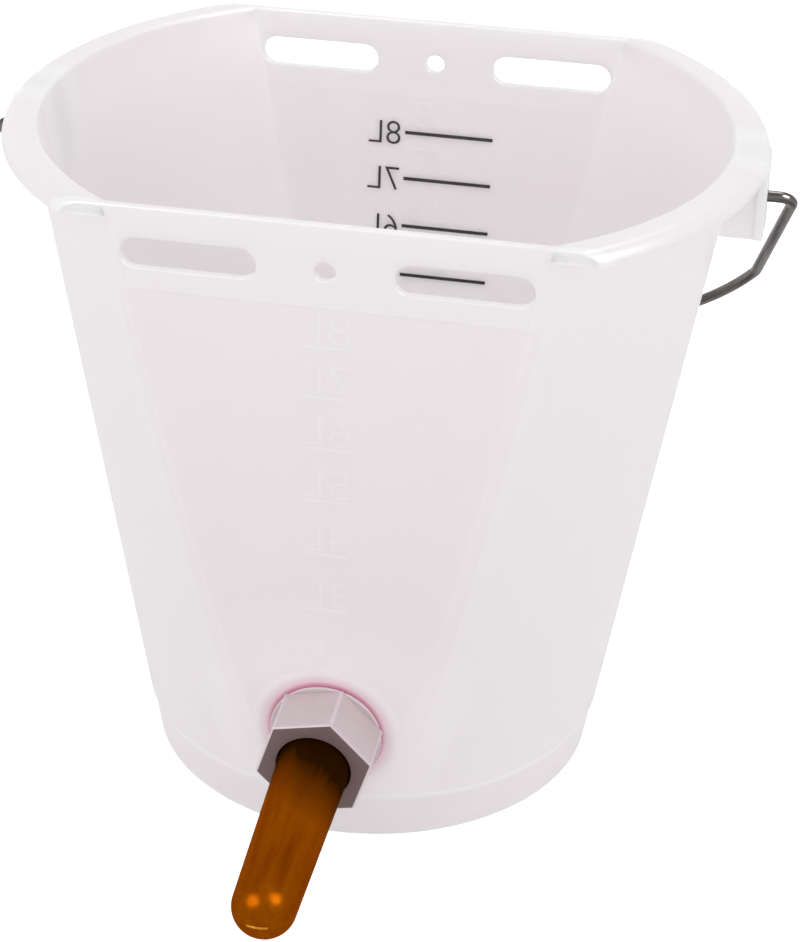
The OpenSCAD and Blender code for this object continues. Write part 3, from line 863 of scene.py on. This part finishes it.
def printedScale(depthAt, lift=0.0):
    verts, faces = [], []
    s = scale
    for litre, z in enumerate([height + lift for height in litreZ], start=1):
        line = barShape(s["lineLeft"] - s["lineRight"], s["lineThick"])
        addShape(verts, faces, line, lambda u, v, w: (s["lineLeft"] - u, depthAt(z + v), z + v - s["lineThick"] / 2))
        digits = letterShapes("%dL" % litre, s["digitWidth"], s["digitHeight"], 0.0, s["digitThinner"])
        low = z - s["digitHeight"] / 2 - s["digitDrop"]
        addShape(verts, faces, digits, lambda u, v, w: (s["digitRight"] - u, depthAt(low + v), low + v))
    return verts, faces


def litreMarks(first, bars, thick, placeAt, thinner=0.0):  # digits, with a bar under each or without
    verts, faces = [], []
    s = scale
    for litre, z in enumerate(litreZ[first - 1:], start=first):
        digits = letterShapes("%dL" % litre, s["markWidth"], s["markHeight"], thick, thinner)
        shapes = [(digits, s["barGap"])]
        if bars:
            shapes.append((barShape(s["markWidth"], s["barThick"], thick), s["barLift"]))
        for shape, lift in shapes:
            addShape(verts, faces, shape, lambda u, v, w: placeAt(u - s["markWidth"] / 2, z + lift + v, w))
    return verts, faces


def mouldedMarks(side):  # raised from the inside of a panel; at the back the printed lines take the place of bars
    s = scale

    def placeAt(u, z, w):
        return side * u, side * (roomPanelAt(z) + s["markRoot"] - w), z

    first, bars = (s["frontFrom"], True) if side < 0 else (1, False)
    return litreMarks(first, bars, s["markLift"] + s["markRoot"], placeAt)


# painted show-through: the front marks inside the wall are drawn on the outside as strokes of a paler finish
def marksThrough():  # the front marks as they show on the outside of the wall
    s = scale

    def placeAt(u, z, w):
        return -u, -panelAt(z) + s["markRoot"] - w, z

    return litreMarks(s["frontFrom"], True, s["markRoot"] + s["showThrough"], placeAt, s["thinner"])


outerPrint = meshObject("litre_scale_print", *printedScale(lambda z: panelAt(z) + scale["film"]))
finishPiece(outerPrint, "bucket", finishes["ink"])
# painted show-through: a second dark ink film on the inner face stands in for the outer print seen through the wall
printSeenThrough = meshObject("litre_scale_through",
                        *printedScale(lambda z: roomPanelAt(z) - scale["film"], scale["seenHigher"]))
finishPiece(printSeenThrough, "bucket", finishes["ink"])
for side in (-1, 1):
    fuse(moulding, meshObject("marks", *mouldedMarks(side)), "UNION")
frontMarks = meshObject("front_marks", *marksThrough())
for piece in (moulding, frontMarks):
    piece.data.materials.clear()
    for finish in ("milky", "marks"):
        piece.data.materials.append(finishes[finish])
for face in frontMarks.data.polygons:
    face.material_index = 1
fuse(moulding, frontMarks, "UNION")
tidyMesh(moulding)
print("litre scale made:", [round(z, 1) for z in litreZ])


# bail: one bent wire with flattened ends

bail = {
    "wireR": 2.25, "standOff": 10.5, "legLean": 10.4, "legLength": 66.5, "bowLean": 24.0, "elbowR": 5.0,
    "kneeR": 12.0, "headR": 3.4, "headThick": 2.0, "headPlay": 0.4, "hang": 42.0663,
    "headEdge": 0.3, "headFace": 0.5, "headBack": 0.4, "neck": 4.0, "neckPast": 2.0,
    "around": 20, "elbowSteps": 12, "kneeSteps": 6, "bowSteps": 72,
}


def bailPath():
    b = bail
    lean, bow = math.radians(b["legLean"]), math.radians(b["bowLean"])
    legX = earR + b["standOff"]
    elbow = Vector((legX - b["elbowR"] * math.tan((math.pi / 2 + lean) / 2), b["elbowR"]))
    headX = earBack - b["headPlay"] - b["headThick"]
    r, head = b["wireR"], b["headR"]
    neckX = headX + b["headThick"]
    path = [(headX, 0, head - b["headFace"]), (headX + b["headEdge"], 0, head), (neckX - b["headEdge"], 0, head),
            (neckX, 0, head - b["headBack"]), (neckX, 0, r), (headX + b["neck"], 0, r),
            ((headX + elbow.x) / 2 + b["neckPast"], 0, r)]
    for i in range(b["elbowSteps"] + 1):
        a = -math.pi / 2 + (math.pi / 2 + lean) * i / b["elbowSteps"]
        path.append((elbow.x + b["elbowR"] * math.cos(a), elbow.y + b["elbowR"] * math.sin(a), r))
    legStart = Vector(path[-1][:2])
    legEnd = legStart + b["legLength"] * Vector((-math.sin(lean), math.cos(lean)))
    for t in (0.25, 0.5, 0.75):
        p = legStart.lerp(legEnd, t)
        path.append((p.x, p.y, r))
    knee = legEnd - b["kneeR"] * Vector((math.cos(lean), math.sin(lean)))
    for i in range(b["kneeSteps"] + 1):
        a = lean + (bow - lean) * i / b["kneeSteps"]
        path.append((knee.x + b["kneeR"] * math.cos(a), knee.y + b["kneeR"] * math.sin(a), r))
    bowR = path[-1][0] / math.cos(bow)
    bowY = path[-1][1] - bowR * math.sin(bow)
    arc = []
    for i in range(1, b["bowSteps"]):
        a = bow + (math.pi - 2 * bow) * i / b["bowSteps"]
        arc.append((bowR * math.cos(a), bowY + bowR * math.sin(a), r))
    return path + arc + [(-x, y, w) for x, y, w in reversed(path)]


def makeBail():
    path = bailPath()
    n = bail["around"]
    rings = []
    for k, (x, y, r) in enumerate(path):
        before, after = path[max(k - 1, 0)], path[min(k + 1, len(path) - 1)]
        along = Vector((after[0] - before[0], after[1] - before[1]))
        along.normalize()
        side = Vector((-along.y, along.x))
        rings.append([(x + r * math.cos(t) * side.x, y + r * math.cos(t) * side.y, r * math.sin(t))
                      for t in [2 * math.pi * i / n for i in range(n)]])
    place = (Matrix.Translation((0, 0, pivotZ)) @ Matrix.Rotation(math.radians(bail["hang"] - 180), 4, "X")
             @ Matrix.Rotation(math.radians(90), 4, "X"))
    obj = ringsObject("bail_wire", rings, capStart=True, capEnd=True, place=place, sharpAngle=50)
    lengths = [0.0]
    for a, b in zip(path, path[1:]):
        lengths.append(lengths[-1] + math.dist(a[:2], b[:2]))
    layer = obj.data.uv_layers.new(name="wire")  # once round and millimetres along
    for face in obj.data.polygons:
        spots = [obj.data.loops[k].vertex_index for k in face.loop_indices]
        seam = len(spots) == 4 and any(v % n == n - 1 for v in spots)
        for k, v in zip(face.loop_indices, spots):
            layer.data[k].uv = (1.0 if seam and v % n == 0 else v % n / n, lengths[v // n])
    return obj


bailWire = makeBail()
finishPiece(bailWire, "bail", finishes["steel"], ("bail_handle",))
print("bail made")


# valve and teat, drawn along the valve's axis with the pad's face at zero

nut = {
    "flats": 42.0, "turn": 12.8, "boreR": 17.65, "mouthR": 15.2, "cornerR": 0.6, "cornerLess": 0.3, "cornerLeast": 0.4,
    "backEdge": ((0.5, 0.0), (0.12, 0.15), (0.0, 0.5)),  # inset, and distance from the end
    "frontEdge": ((0.0, 0.8), (0.12, 0.45), (0.55, 0.08), (0.85, 0.0)),
    "mouthEdge": ((0.3, 0.0), (0.1, 0.1), (0.0, 0.3)), "boreEdge": ((0.0, 0.6), (0.5, 0.0)),
    "sideSteps": 6, "cornerSteps": 4, "sharp": 25,
}


def hexRing(inset, z):
    apothem = nut["flats"] / 2 - inset
    r = max(nut["cornerR"] - inset * nut["cornerLess"], nut["cornerLeast"])
    out = []
    for k in range(6):
        middle = math.radians(nut["turn"] + 60 * k)
        far = (apothem - r) / math.cos(math.radians(30))
        cx, cy = far * math.cos(middle), far * math.sin(middle)
        for i in range(nut["cornerSteps"] + 1):
            a = middle + math.radians(-30 + 60 * i / nut["cornerSteps"])
            out.append((cx + r * math.cos(a), cy + r * math.sin(a)))
        following = math.radians(nut["turn"] + 60 * (k + 1))
        a = following - math.radians(30)
        end = (far * math.cos(following) + r * math.cos(a), far * math.sin(following) + r * math.sin(a))
        start = out[-1]
        for i in range(1, nut["sideSteps"]):
            t = i / nut["sideSteps"]
            out.append((start[0] + (end[0] - start[0]) * t, start[1] + (end[1] - start[1]) * t))
    return [(x, y, z) for x, y in out]


def roundRing(like, r, z):  # a circle whose points face those of another ring
    return [(r * math.cos(math.atan2(y, x)), r * math.sin(math.atan2(y, x)), z) for x, y, w in like]


def makeNut():
    back, front, shoulder = stack["washer"], stack["nutFront"], stack["shoulder"]
    rings = [hexRing(inset, back + up) for inset, up in nut["backEdge"]]
    rings += [hexRing(inset, front - down) for inset, down in nut["frontEdge"]]
    profile = [(nut["mouthR"] + wider, front - down) for wider, down in nut["mouthEdge"]]
    profile += [(nut["mouthR"], shoulder), (nut["boreR"], shoulder)]
    profile += [(nut["boreR"] + wider, back + up) for wider, up in nut["boreEdge"]]
    like = rings[0]
    rings += [roundRing(like, r, z) for r, z in profile]
    return ringsObject("nut", rings, closedStack=True, place=valvePlace, sharpAngle=nut["sharp"])


thread = {"from": 0.8, "endGap": 0.6, "fade": 2.0, "steep": 2.2, "start": 0.5, "rows": 8, "around": 96}


def makeSleeve():
    s, t = stack, thread
    steps, edge = t["around"], s["edge"]
    coreR, flangeR, back, seal = s["sleeveR"] - s["coreLess"], s["flangeR"], s["flangeBack"], s["sealBack"]
    profile = [(s["inletR"] + edge, back), (flangeR - s["flangeEdge"], back),
               (flangeR - s["flangeSoft"], back + s["flangeSoft"]), (flangeR, back + s["flangeEdge"]),
               (flangeR, seal - edge), (flangeR - edge, seal), (coreR, seal), (coreR, s["coreEnd"])]
    rings = turned(profile, steps)
    start, end = t["from"], s["sleeveEnd"] - t["endGap"]
    levels = int((end - start) / s["pitch"] * t["rows"])
    for k in range(levels + 1):  # thread: a ridge that climbs by one pitch a turn
        z = start + (end - start) * k / levels
        fade = max(0.0, min(1.0, (z - start) / t["fade"], (end - z) / t["fade"]))
        ring = []
        for i in range(steps):
            phase = (z / s["pitch"] - i / steps) % 1.0
            ridge = min(1.0, max(0.0, t["steep"] * (1 - abs(2 * phase - 1)) - t["start"]))
            r, a = s["sleeveR"] - s["threadDeep"] * (1 - fade * ridge), 2 * math.pi * i / steps
            ring.append((r * math.cos(a), r * math.sin(a), z))
        rings.append(ring)
    rings += turned([(s["sleeveR"] - s["noseLess"], s["sleeveEnd"]), (s["recessR"] + edge, s["sleeveEnd"]),
                     (s["recessR"], s["sleeveEnd"] - edge), (s["recessR"], s["retainerZ"]),
                     (s["chamberR"], s["retainerZ"]), (s["chamberR"], seal), (s["inletR"], seal),
                     (s["inletR"], back + edge)], steps)
    return ringsObject("sleeve", rings, closedStack=True, place=valvePlace, sharpAngle=s["sharp"])


def makeRing(name, inner, outer, low, high, edge):
    soft = edge * stack["ringSoft"]
    profile = [(inner, low + edge), (inner + edge, low), (outer - edge, low), (outer - soft, low + soft),
               (outer, low + edge), (outer, high - edge), (outer - soft, high - soft),
               (outer - edge, high), (inner + edge, high), (inner, high - edge)]
    rings = turned(profile, stack["ringSteps"])
    return ringsObject(name, rings, closedStack=True, place=valvePlace, sharpAngle=stack["sharp"])


teat = {
    "rootR": 14.5, "tipR": 12.4, "reach": 93.5, "rubber": 3.5, "flangeR": 17.35, "flangeEdge": 0.5, "shoulderEdge": 0.3,
    "rootFillet": 0.2, "rootRise": 0.5, "slitLength": 8.0, "slitWidth": 0.14, "slitLip": 0.5, "lipPast": 0.4,
    "crossCut": 4.0, "slitPast": 2.0, "around": 72, "bodySteps": 8, "domeSteps": 18, "boreSteps": 12,
    "lipSteps": 12, "lipAround": 12, "lipLeast": 0.05, "sharp": 40,
}


def makeTeat():
    t, s = teat, stack
    count = t["around"]
    tip = s["nutFront"] + t["reach"] - t["tipR"]
    boreRoot, boreTip = t["rootR"] - t["rubber"], t["tipR"] - t["rubber"]
    edge, flangeR, shoulder = t["shoulderEdge"], t["flangeR"], s["shoulder"]
    profile = [(boreRoot, s["sleeveEnd"]), (flangeR - t["flangeEdge"], s["sleeveEnd"]),
               (flangeR, s["sleeveEnd"] + t["flangeEdge"]), (flangeR, shoulder - edge), (flangeR - edge, shoulder),
               (t["rootR"] + t["rootFillet"], shoulder), (t["rootR"], shoulder + t["rootRise"])]
    for i in range(t["bodySteps"] + 1):
        k = i / t["bodySteps"]
        profile.append((t["rootR"] + (t["tipR"] - t["rootR"]) * k, s["nutFront"] + (tip - s["nutFront"]) * k))
    dome = t["tipR"] - t["slitLip"] / 2
    arc = arcPoints(0.0, tip, t["tipR"], 0, 90, t["domeSteps"])[1:-1]
    outside = turned(profile + [(r, tip + (z - tip) * dome / t["tipR"]) for r, z in arc], count)
    bore = arcPoints(0.0, tip, boreTip, 90, 0, t["boreSteps"])[1:]
    inside = turned(bore + [(boreRoot, s["sleeveEnd"] + edge)], count)
    verts = [p for ring in outside + inside for p in ring]
    faces = stackFaces(outside, count)
    base = len(outside) * count
    faces += [tuple(base + i for i in f) for f in stackFaces(inside, count)]
    tipVert, boreVert = len(verts), len(verts) + 1
    verts += [(0, 0, tip + dome), (0, 0, tip + boreTip)]
    lastOut, lastIn = base - count, base + (len(inside) - 1) * count
    for i in range(count):
        j = (i + 1) % count
        faces.append((lastOut + i, lastOut + j, tipVert))
        faces.append((base + j, base + i, boreVert))
        faces.append((lastIn + i, lastIn + j, j, i))
    obj = meshObject("teat_rubber", verts, faces, t["sharp"], valvePlace)

    lip, deep = [], t["tipR"] - t["slitLip"]
    lipEnd = math.asin((t["slitLength"] / 2 + t["lipPast"]) / t["tipR"])
    for i in range(t["lipSteps"] + 1):  # the rubber stands up a little along the slit
        k = 2 * i / t["lipSteps"] - 1
        thick = t["slitLip"] * math.sqrt(max(t["lipLeast"], 1 - k ** 2))
        ring = []
        for n in range(t["lipAround"]):
            a = 2 * math.pi * n / t["lipAround"]
            r = deep + thick * math.cos(a)
            ring.append((r * math.sin(k * lipEnd), thick * math.sin(a), tip + r * math.cos(k * lipEnd)))
        lip.append(ring)
    fuse(obj, ringsObject("lips", lip, capStart=True, capEnd=True, place=valvePlace), "UNION")
    slitFrom, slitTo = tip + t["slitPast"], tip + t["tipR"] + t["slitPast"]
    for length, width in ((t["slitLength"], t["slitWidth"]), (t["slitWidth"], t["crossCut"])):
        w, h = length / 2, width / 2
        box = [[(-w, -h, z), (w, -h, z), (w, h, z), (-w, h, z)] for z in (slitFrom, slitTo)]
        fuse(obj, ringsObject("slit", box, capStart=True, capEnd=True, place=valvePlace), "DIFFERENCE")
    tidyMesh(obj, t["sharp"])
    return obj


hexNut = makeNut()
finishPiece(hexNut, "nut", finishes["grey"], ("union_nut",))
sleeve = makeSleeve()
finishPiece(sleeve, "bucket", finishes["white"], ("valve_body",))
seal = makeRing("seal_ring", valve["passageR"], stack["sealR"], stack["sealBack"], stack["wallBack"],
                stack["sealEdge"])
finishPiece(seal, "bucket", finishes["red"], ("wall_seal",))
washer = makeRing("washer_ring", valve["passageR"], stack["washerR"], 0.0, stack["washer"], stack["washerEdge"])
finishPiece(washer, "bucket", finishes["grey"], ("slip_washer",))
rubberTeat = makeTeat()
finishPiece(rubberTeat, "teat", finishes["amber"], ("teat",))
for name in ("check_ball", "ball_retainer"):
    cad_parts[name].data.materials.clear()
    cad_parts[name].data.materials.append(finishes["white"])
print("valve and teat made")


# floor, light and camera

studio = {
    "horizon": 1.14, "zenith": 0.68, "front": 1.03, "zenithFrom": 0.8, "frontFrom": (0.1, 0.7), "aim": (0, 0, 0.12),
    "floorSize": 8.0, "floorGlow": 0.55, "floorBounce": 0.97, "floorShade": 0.92, "shadeTo": (-0.22, 0.1),
    "floorDark": 0.95, "floorLight": 0.97, "floorGrain": 3.0,
    "left": {"at": (-0.78, -1.0, 1.05), "size": 1.0, "power": 40.0, "glossOnly": True},
    "right": {"at": (0.975, -0.475, 1.16), "size": 1.0, "power": 41.0, "glossOnly": True},
    "over": {"at": (0.13, 1.0, 2.0), "size": 1.0, "power": 16.0, "glossOnly": True},
    "top": {"at": (-0.1, 0.3, 2.2), "size": 1.6, "power": 5.5, "glossOnly": False},
}


def makeFloor():
    half = studio["floorSize"] / 2
    mesh = bpy.data.meshes.new("floor")
    mesh.from_pydata([(-half, -half, 0), (half, -half, 0), (half, half, 0), (-half, half, 0)], [], [(0, 1, 2, 3)])
    floor = bpy.data.objects.new("floor", mesh)
    scene.collection.objects.link(floor)
    mat, tree, shader = startMaterial("pale_floor")
    tones = [rgb(*[studio[k]] * 3) for k in ("floorDark", "floorLight", "floorShade", "floorBounce")]
    seen = tree.nodes.new("ShaderNodeLightPath").outputs["Is Camera Ray"]  # bright to look at, dimmer as a bounce
    shade = blendColour(tree, spread(tree, grain(tree, studio["floorGrain"]), 0.0, 1.0), *tones[:2])
    behind = step(tree, placeOf(tree)["Y"], *studio["shadeTo"])  # a little less bounce in front
    bounce = blendColour(tree, behind, *tones[2:])
    tree.links.new(blendColour(tree, seen, bounce, shade), shader.inputs["Base Color"])
    tree.links.new(calc(tree, "MULTIPLY", seen, studio["floorGlow"]), shader.inputs["Emission Strength"])
    shader.inputs["Emission Color"].default_value = rgb(1.0, 1.0, 1.0)
    shader.inputs["Roughness"].default_value = 0.9
    shader.inputs["Specular IOR Level"].default_value = 0.1
    floor.data.materials.append(mat)


def areaLight(name, spec):
    light = bpy.data.lights.new(name, "AREA")
    light.shape = "DISK"
    light.size = spec["size"]
    light.energy = spec["power"]
    obj = bpy.data.objects.new(name, light)
    obj.location = spec["at"]
    obj.rotation_mode = "QUATERNION"
    obj.rotation_quaternion = (Vector(studio["aim"]) - Vector(spec["at"])).to_track_quat("-Z", "Y")
    obj.visible_diffuse = not spec["glossOnly"]  # small lamps for the highlights alone
    scene.collection.objects.link(obj)


camera = {
    "at": (0.17352, -0.90915, 0.64050), "azimuth": 10.245, "elevation": 29.331, "roll": 1.616, "lens": 95.302,
    "sensor": 36.0, "clip": (0.01, 50),
}


def makeCamera():
    az, el, roll = (math.radians(camera[k]) for k in ("azimuth", "elevation", "roll"))
    ahead = Vector((-math.sin(az) * math.cos(el), math.cos(az) * math.cos(el), -math.sin(el)))
    right = Vector((math.cos(az), math.sin(az), 0))
    up = right.cross(ahead)
    tiltRight = math.cos(roll) * right + math.sin(roll) * up
    tiltUp = -math.sin(roll) * right + math.cos(roll) * up
    data = bpy.data.cameras.new("camera")
    data.sensor_fit = "AUTO"
    data.sensor_width = camera["sensor"]
    data.lens = camera["lens"]
    data.clip_start, data.clip_end = camera["clip"]
    obj = bpy.data.objects.new("camera", data)
    turn = Matrix((tiltRight, tiltUp, -ahead)).transposed()
    obj.matrix_world = Matrix.Translation(camera["at"]) @ turn.to_4x4()
    scene.collection.objects.link(obj)
    scene.camera = obj


def makeWorld():  # soft light from all round, weaker overhead
    world = bpy.data.worlds.new("studio")
    scene.world = world
    world.use_nodes = True
    tree = world.node_tree
    background = tree.nodes["Background"]
    place = placeOf(tree, "Generated")
    height = step(tree, place["Z"], 0.0, studio["zenithFrom"])
    strength = calc(tree, "MULTIPLY_ADD", height, studio["zenith"] - studio["horizon"], studio["horizon"])
    ahead = step(tree, calc(tree, "MULTIPLY", place["Y"], -1.0), *studio["frontFrom"])
    strength = calc(tree, "MULTIPLY", strength, calc(tree, "MULTIPLY_ADD", ahead, studio["front"] - 1.0, 1.0))
    tree.links.new(strength, background.inputs["Strength"])
    background.inputs["Color"].default_value = rgb(1.0, 1.0, 1.0)


makeFloor()
for name in ("left", "right", "over", "top"):
    areaLight(name, studio[name])
makeWorld()
scene.view_settings.view_transform = "Standard"
makeCamera()
print("studio made")
